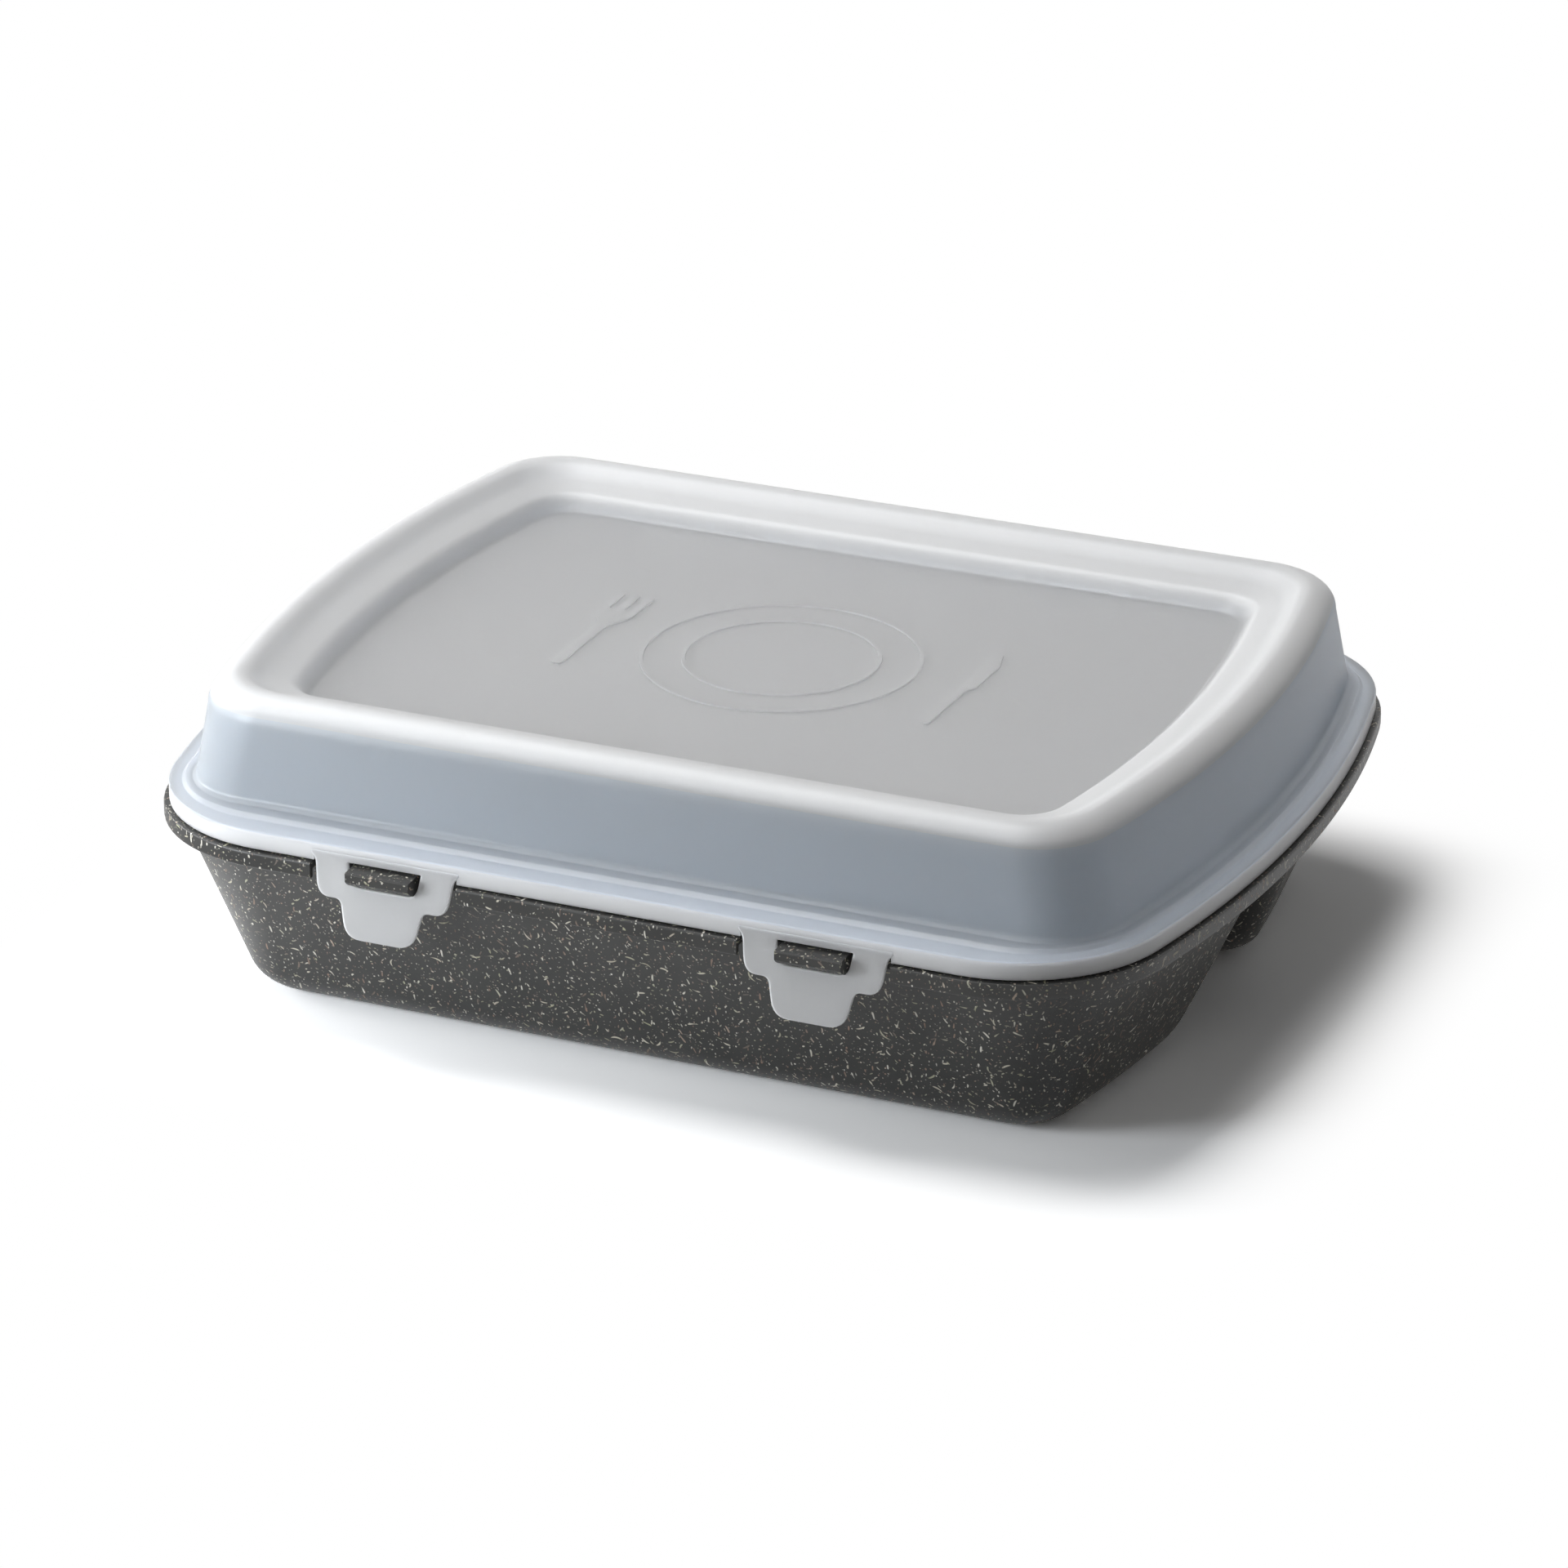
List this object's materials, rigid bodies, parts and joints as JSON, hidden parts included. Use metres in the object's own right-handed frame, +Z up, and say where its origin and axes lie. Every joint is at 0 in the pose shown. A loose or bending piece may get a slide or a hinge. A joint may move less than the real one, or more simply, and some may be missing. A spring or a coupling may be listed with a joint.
{
  "type": "reusable meal container",
  "caption": "Reusable meal container: a deep speckled tray with two compartments and a frosted lid whose moulded tabs hook over lugs on the tray.",
  "frame": {"origin": "centre of the footprint, at the bottom of the tray's foot", "axes": "+X along the long sides to the right, +Y to the back where the lid hinges, +Z up"},
  "size_m": [0.2384, 0.1948, 0.0705],
  "materials": {
    "tray_composite": "charcoal fibre-filled plastic with pale flecks, satin",
    "lid_frosted": "frosted translucent plastic, satin"
  },
  "bodies": {
    "tray": {"base_tray": "tray_composite", "rear_left_tab": "lid_frosted", "rear_right_tab": "lid_frosted"},
    "lid": {"lid": "lid_frosted"},
    "left_tab": {"front_left_tab": "lid_frosted"},
    "right_tab": {"front_right_tab": "lid_frosted"}
  },
  "joints": [
    {"name": "lid_hinge", "type": "hinge", "parent": "tray", "child": "lid", "pos_m": [0, 0.09295, 0.045], "axis": [-1, 0, 0], "range_deg": [0, 95]},
    {"name": "left_tab_hinge", "type": "hinge", "parent": "lid", "child": "left_tab", "pos_m": [-0.048, -0.09295, 0.045], "axis": [-1, 0, 0], "range_deg": [0, 80]},
    {"name": "right_tab_hinge", "type": "hinge", "parent": "lid", "child": "right_tab", "pos_m": [0.048, -0.09295, 0.045], "axis": [-1, 0, 0], "range_deg": [0, 80]}
  ]
}
